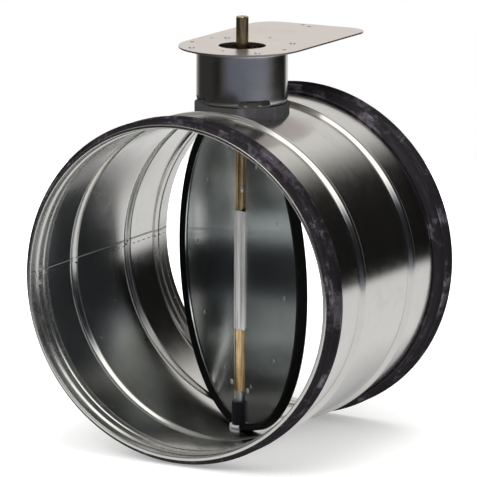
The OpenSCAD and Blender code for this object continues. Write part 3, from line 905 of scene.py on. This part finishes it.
def floor_finish():
    """Pale floor that looks white to the camera and keeps the object's shadow; to mirror rays it shows an
    evenly lit image that fades with distance and carries a painted shadow behind the damper.
    """
    made, board = new_finish("pale_floor")
    x, y, z = board.parts(board.node("ShaderNodeTexCoord", out="Object"))
    reach = (x * x + y * y) ** 0.5
    seen = board.node("ShaderNodeLightPath", out="Is Camera Ray")
    mirrored = board.node("ShaderNodeLightPath", out="Is Glossy Ray")
    matt = board.node("ShaderNodeBsdfDiffuse", {}, {"Color": (0.80, 0.80, 0.80, 1.0)})
    white = (1.0, 1.0, 1.0, 1.0)
    glow = board.node("ShaderNodeEmission", {}, {
        "Color": white, "Strength": seen * (0.34 + reach.eased(0.32, 0.85) * 0.8)})
    pale = board.node("ShaderNodeAddShader", values=[matt, glow])
    aside, behind = x - 0.35, y - 0.10
    far = ((aside * aside + behind * behind) ** 0.5).eased(0.80, 1.26)
    # Painted shadow in the mirrored floor image, behind and to the left of the damper.
    aside, behind = x + 0.10, y - 0.20
    shade = 0.33 + ((aside * aside + behind * behind) ** 0.5).eased(0.14, 0.31) * 0.67
    image = board.node("ShaderNodeEmission", {}, {
        "Color": white, "Strength": shade * (0.84 - far * 0.81)})
    board.surface(board.node("ShaderNodeMixShader", values=[mirrored, pale, image]))
    return made


def soft_lamp(context, name, place, size, power):
    """A square lamp that points at the damper and isn't mirrored in it."""
    data = bpy.data.lights.new(name, "AREA")
    data.shape = "SQUARE"
    data.size = size
    data.energy = power
    lamp = bpy.data.objects.new(name, data)
    context.scene.collection.objects.link(lamp)
    lamp.location = place
    lamp.rotation_euler = (-Vector(place)).to_track_quat("-Z", "Y").to_euler()
    lamp.visible_glossy = False
    return lamp


def photo_camera(context):
    """Camera at the photograph's viewing angle, from a fit to its edges."""
    yaw, pitch, roll = 0.495508, 0.199687, 0.0046208
    right_shift, down_shift, ahead_shift = 2.58255 * MM, 29.11112 * MM, 4041.0939 * MM
    focal, image, sensor = 4200.0, 477.0, 36.0
    right = Vector((math.cos(yaw), math.sin(yaw), 0))
    ahead = Vector((-math.sin(yaw) * math.cos(pitch), math.cos(yaw) * math.cos(pitch),
                    -math.sin(pitch)))
    up = right.cross(ahead)
    turned_right = math.cos(roll) * right + math.sin(roll) * up
    turned_up = math.cos(roll) * up - math.sin(roll) * right
    place = turned_up * down_shift - turned_right * right_shift - ahead * ahead_shift
    data = bpy.data.cameras.new("photo_camera")
    data.sensor_width = sensor
    data.lens = focal / image * sensor
    data.clip_start, data.clip_end = 0.1, 40.0
    camera = bpy.data.objects.new("photo_camera", data)
    context.scene.collection.objects.link(camera)
    turn = Matrix((turned_right, turned_up, -ahead)).transposed().to_4x4()
    camera.matrix_world = Matrix.Translation(place) @ turn
    context.scene.camera = camera


# Operators

class DAMPER_OT_stage(bpy.types.Operator):
    """Makes the camera, the studio light and the pale floor"""
    bl_idname = "damper.stage"
    bl_label = "Stage"

    def execute(self, context):
        kept = {*frame["bodies"].values(), *frame["nodes"].values()}
        for other in list(context.scene.objects):
            if other not in kept:
                bpy.data.objects.remove(other)
        context.scene.view_settings.view_transform = "Standard"
        photo_camera(context)
        context.scene.world = studio_world()
        level = CAD_BOX[0].z - 0.2 * MM
        rim = [(1.5 * math.cos(TAU * i / 96), 1.5 * math.sin(TAU * i / 96), level)
               for i in range(96)]
        mesh = bpy.data.meshes.new("floor")
        mesh.from_pydata(rim, [], [tuple(range(96))])
        placed(context, "floor", mesh, floor_finish())
        soft_lamp(context, "key_lamp", (-0.7, -1.5, 1.3), 1.2, 26.0)
        soft_lamp(context, "top_lamp", (0.2, 0.3, 2.0), 1.5, 24.0)
        soft_lamp(context, "fill_lamp", (1.6, -0.8, 0.7), 1.0, 7.0)
        return {"FINISHED"}


class DAMPER_OT_casing(bpy.types.Operator):
    """Makes the rolled casing with its beads, seats, folded edges and lap seam"""
    bl_idname = "damper.casing"
    bl_label = "Casing"

    def execute(self, context):
        s = context.scene.damper_sizes
        material = finish(context, "galvanised_casing")
        mesh = lathe("casing_sheet", casing_section(s), "Y", s.turns, sheet_ripple(s))
        casing = placed(context, "casing_sheet", mesh, material)
        holes = several("cutter", [post(0, 0, 10.6 * MM, 0.12, 0.17),
                                   post(0, 0, 8.4 * MM, -0.17, -0.12)])
        cut_with(context, casing, holes)
        joined_to(casing, "casing", "galvanised", "casing")
        lap = (s.seam_top, s.seam_width, s.seam_step, s.seam_step)
        laps = several("casing_lap", [seam_bar(s, True, 131.5 * MM, *lap),
                                      seam_bar(s, False, 97.0 * MM, *lap)])
        joined_to(placed(context, "casing_lap", laps, material), "casing", "galvanised")
        return {"FINISHED"}


class DAMPER_OT_seam_welds(bpy.types.Operator):
    """Makes the welds along the lap seam, a dark strip of painted shadow above them, and the lumps where
    it crosses the folds
    """
    bl_idname = "damper.seam_welds"
    bl_label = "Seam Welds"

    def execute(self, context):
        s = context.scene.damper_sizes
        burnt = finish(context, "burnt_weld")
        along = Vector((0, 1, 0))
        spots = []
        count = int(2 * (s.half_length - 6 * MM) / s.stitch_pitch)
        for i in range(count + 1):
            y = (i - count / 2) * s.stitch_pitch
            place, facing = on_wall(s, y, s.seam_top - s.seam_width + 0.1 * MM)
            spots.append((place, facing, along, 0.8 + 0.2 * noise.random()))
        row = lumps(context, "seam_stitches", spots,
                    (s.stitch_length / 2, s.weld_width / 2, s.weld_height), burnt, 16, 8)
        joined_to(row, "casing", "galvanised")
        material = finish(context, "weld_metal")
        upper = s.seam_top + s.weld_width / 2
        # The second strip is painted shadow: a dark band along the top edge of the seam weld.
        for name, top, width, height, look in (
                ("seam_weld", upper, s.weld_width, s.weld_height, material),
                ("seam_painted_shadow", upper + 0.8 * MM, 0.8 * MM, 0.1 * MM, burnt)):
            strip = several(name, [seam_bar(s, True, 131.0 * MM, top, width, height,
                                            width * 0.4)])
            joined_to(placed(context, name, strip, look), "casing", "galvanised")
        crossings = ((-119, 6.5, 2.4), (-114, 5.2, 1.8), (-118, -7.5, 2.2), (-112.5, -6, 1.5),
                     (-122.5, -1, 1.5), (-108, 0.5, 1.2), (-53, -1.6, 1.8), (-49.5, 0.4, 1.3),
                     (51.5, -1.5, 2.0), (47.5, -0.6, 1.4), (55.5, 1.2, 1.2), (112, 0.6, 1.3))
        spots = []
        for y, z, growth in crossings:
            place, facing = on_wall(s, y * MM, z * MM)
            spots.append((place, facing, along, growth))
        blobs = lumps(context, "seam_lumps", spots, (1.3 * MM, 1.2 * MM, 0.42 * MM), material,
                      16, 10)
        joined_to(blobs, "casing", "galvanised")
        return {"FINISHED"}


class DAMPER_OT_gaskets(bpy.types.Operator):
    """Makes both duct gaskets with their two lips and the joint in the front one"""
    bl_idname = "damper.gaskets"
    bl_label = "Duct Gaskets"

    def execute(self, context):
        s = context.scene.damper_sizes
        material = finish(context, "gasket_rubber")
        rear = rounded_section(gasket_points(s), 0.9 * MM)
        joint = math.radians(38.0)
        band = s.bore_radius + s.sheet + s.gasket_band / 2

        def shift(angle, radius, place):
            if radius < band:
                return 0.0
            wave = 0.10 * MM * noise.noise(Vector((3 * math.cos(angle), 40 * place,
                                                   3 * math.sin(angle))))
            bump = 0.0
            if place < 0 and radius < s.bore_radius + s.sheet + s.lip_height - 1.5 * MM:
                bump = 0.4 * MM * max(0.0, 1 - abs(angle - joint) / math.radians(0.45))
            return min(wave, 0.0) + bump

        extra = [joint + math.radians(step) for step in (-0.45, -0.3, 0.0, 0.3, 0.45)]
        for name, node, section in (
                ("rear_gasket", "rear_duct_gasket", rear),
                ("front_gasket", "front_duct_gasket",
                 [Vector((p.x, -p.y)) for p in reversed(rear)])):
            mesh = lathe(name, section, "Y", s.turns, shift, extra, 50.0)
            joined_to(placed(context, name, mesh, material), "casing", "rubber", node)
        return {"FINISHED"}


class DAMPER_OT_blade(bpy.types.Operator):
    """Makes both blade discs with their raised edges and spot welds, the seal and the tacks"""
    bl_idname = "damper.blade"
    bl_label = "Blade"

    def execute(self, context):
        s = context.scene.damper_sizes
        for name, node, look in (("front_disc", "front_blade_disc", "strapped_sheet"),
                                 ("rear_disc", "rear_blade_disc", "blade_sheet")):
            disc = smooth_copy(context, node, name, finish(context, look), on_blade(0, 1, 0))
            joined_to(disc, "blade", "galvanised", node)
        seal = several("blade_edge_seal", half_rings(s, seal_section(s)))
        seal = placed(context, "blade_edge_seal", seal, finish(context, "seal_rubber"))
        joined_to(seal, "blade", "rubber", "blade_seal")
        rims = several("blade_rims", [*half_rings(s, rim_section(s, -1)),
                                      *half_rings(s, rim_section(s, 1))])
        rims = placed(context, "blade_rims", rims, finish(context, "zinc_plate"))
        joined_to(rims, "blade", "galvanised")
        up = Vector((0, 0, 1))
        spots = [(on_blade(way * 6.6 * MM, -2.0 * MM, way * 79 * MM),
                  on_blade(way * 0.7, -0.7, 0), up, 1.0) for way in (1, -1)]
        tacks = lumps(context, "blade_tacks", spots, (3.2 * MM, 1.3 * MM, 1.0 * MM),
                      finish(context, "weld_metal"), 16, 10)
        joined_to(tacks, "blade", "steel")
        spots = [(on_blade(s.spot_ring * math.cos(turn), way * (s.disc_face - 0.1 * MM),
                           s.spot_ring * math.sin(turn)), on_blade(0, way, 0), up, 1.0)
                 for way in (1, -1) for turn in (math.radians(36 * i - 3) for i in range(10))]
        welds = lumps(context, "blade_spot_welds", spots,
                      (s.spot_radius, s.spot_radius, s.spot_height),
                      finish(context, "weld_metal"), 16, 8)
        joined_to(welds, "blade", "galvanised")
        return {"FINISHED"}


class DAMPER_OT_shaft(bpy.types.Operator):
    """Makes the chromated shaft, and dresses its ring and O-ring"""
    bl_idname = "damper.shaft"
    bl_label = "Shaft"

    def execute(self, context):
        bar = smooth_copy(context, "shaft", "turned_shaft", finish(context, "yellow_chromate"))
        joined_to(bar, "blade", "chromated", "shaft")
        dress("retaining_ring", finish(context, "zinc_plate"))
        dress("shaft_o_ring", finish(context, "hidden_rubber"))
        return {"FINISHED"}


class DAMPER_OT_bearings(bpy.types.Operator):
    """Makes the bushes and bearing sleeves, and dresses their nuts and washers"""
    bl_idname = "damper.bearings"
    bl_label = "Bearings"

    def execute(self, context):
        for end in ("upper", "lower"):
            for kind, look, slot in (("bush", "bush_plastic", "bush"),
                                     ("bearing_sleeve", "sleeve_plastic", "sleeve")):
                node = f"{end}_{kind}"
                piece = smooth_copy(context, node, f"{node}_moulding", finish(context, look))
                joined_to(piece, "casing", slot, node)
            dress(f"{end}_bush_nut", finish(context, "zinc_plate"))
        dress("thrust_washer", finish(context, "zinc_plate"))
        dress("lower_sealing_washer", finish(context, "hidden_rubber"))
        return {"FINISHED"}


class DAMPER_OT_neck(bpy.types.Operator):
    """Makes the drawn neck with its drain openings, and the gasket under it"""
    bl_idname = "damper.neck"
    bl_label = "Neck"

    def execute(self, context):
        s = context.scene.damper_sizes
        half = s.neck_sheet / 2
        wall = s.neck_radius - half
        path = rounded_path([(10.6 * MM, s.neck_foot + half), (wall, s.neck_foot + half),
                             (wall, s.neck_top - half), (s.neck_flange, s.neck_top - half)],
                            (s.neck_corner - half, s.neck_bend + half), 9)
        section = sheet_section(refined(path, 2.6 * MM), s.neck_sheet)
        neck = placed(context, "neck_drawn", lathe("neck_drawn", section, "Z", 240),
                      finish(context, "galvanised_neck"))
        cut_with(context, neck, notch_cutters(s))
        joined_to(neck, "casing", "galvanised", "neck_cup")
        # The pad's dark tone is partly painted shade for the gap under the neck.
        pad = smooth_copy(context, "saddle_gasket", "saddle_pad",
                          finish(context, "cellular_rubber"))
        joined_to(pad, "casing", "rubber", "saddle_gasket")
        return {"FINISHED"}


class DAMPER_OT_plate(bpy.types.Operator):
    """Makes the actuator plate"""
    bl_idname = "damper.plate"
    bl_label = "Actuator Plate"

    def execute(self, context):
        plate = smooth_copy(context, "actuator_plate", "plate_sheet",
                            finish(context, "galvanised_plate"), Vector((0, 0, 1)))
        joined_to(plate, "casing", "galvanised", "actuator_plate")
        return {"FINISHED"}


class DAMPER_OT_rivets(bpy.types.Operator):
    """Makes the domed heads of the neck, plate and blade rivets"""
    bl_idname = "damper.rivets"
    bl_label = "Rivets"

    def execute(self, context):
        s = context.scene.damper_sizes
        steel = finish(context, "zinc_plate")
        up, side = Vector((0, 0, 1)), Vector((1, 0, 0))
        size = (s.rivet_radius, s.rivet_radius, s.rivet_height)
        neck, plate = [], []
        ring = s.neck_radius - 7.7 * MM
        for corner in CORNERS:
            for turn in (-11.5, 11.5):
                angle = corner + math.radians(turn)
                x, y = ring * math.cos(angle), ring * math.sin(angle)
                neck.append(((x, y, s.neck_foot + s.neck_sheet), up, side, 1.0))
                inner = Vector((x, 0, math.sqrt(s.bore_radius ** 2 - x * x)))
                neck.append((inner + Vector((0, y, 0)), -inner.normalized(), side, 0.66))
            reach = (s.neck_radius + s.neck_flange) / 2
            x, y = reach * math.cos(corner), reach * math.sin(corner)
            plate.append(((x, y, s.neck_top + 1.5 * MM), up, side, 1.0))
            plate.append(((x, y, s.neck_top - s.neck_sheet), -up, side, 1.0))
        blade = [(on_blade(x * MM, way * s.disc_face, z * MM), on_blade(0, way, 0), side, 1.0)
                 for x in (-21, 21) for z in (-116, 116) for way in (-1, 1)]
        for name, spots, body, node in (("neck_rivet_heads", neck, "casing", "neck_rivets"),
                                        ("plate_rivet_heads", plate, "casing", "plate_rivets"),
                                        ("blade_rivet_heads", blade, "blade", "blade_rivets")):
            heads = lumps(context, name, spots, size, steel)
            joined_to(heads, body, "steel", node)
        return {"FINISHED"}


class DAMPER_PT_pieces(bpy.types.Panel):
    """Lists the damper's pieces, sizes and colours"""
    bl_idname = "DAMPER_PT_pieces"
    bl_label = "Duct Damper"
    bl_space_type = "VIEW_3D"
    bl_region_type = "UI"
    bl_category = "Damper"

    def draw(self, context):
        column = self.layout.column(align=True)
        for operator in OPERATORS:
            column.operator(operator.bl_idname)
        for group in (context.scene.damper_sizes, context.scene.damper_colours):
            column = self.layout.column(align=True)
            for name in group.__annotations__:
                column.prop(group, name)


OPERATORS = (DAMPER_OT_stage, DAMPER_OT_casing, DAMPER_OT_seam_welds, DAMPER_OT_gaskets,
             DAMPER_OT_blade, DAMPER_OT_shaft, DAMPER_OT_bearings, DAMPER_OT_neck,
             DAMPER_OT_plate, DAMPER_OT_rivets)
CLASSES = (DamperSizes, DamperColours, *OPERATORS, DAMPER_PT_pieces)


def register():
    for made in CLASSES:
        bpy.utils.register_class(made)
    bpy.types.Scene.damper_sizes = PointerProperty(type=DamperSizes)
    bpy.types.Scene.damper_colours = PointerProperty(type=DamperColours)


def unregister():
    del bpy.types.Scene.damper_colours
    del bpy.types.Scene.damper_sizes
    for made in reversed(CLASSES):
        bpy.utils.unregister_class(made)


def main():
    """Makes every piece in order."""
    noise.seed_set(7)
    register()
    for operator in OPERATORS:
        group, name = operator.bl_idname.split(".")
        getattr(getattr(bpy.ops, group), name)()
    bpy.context.view_layer.update()


if __name__ == "__main__":
    main()
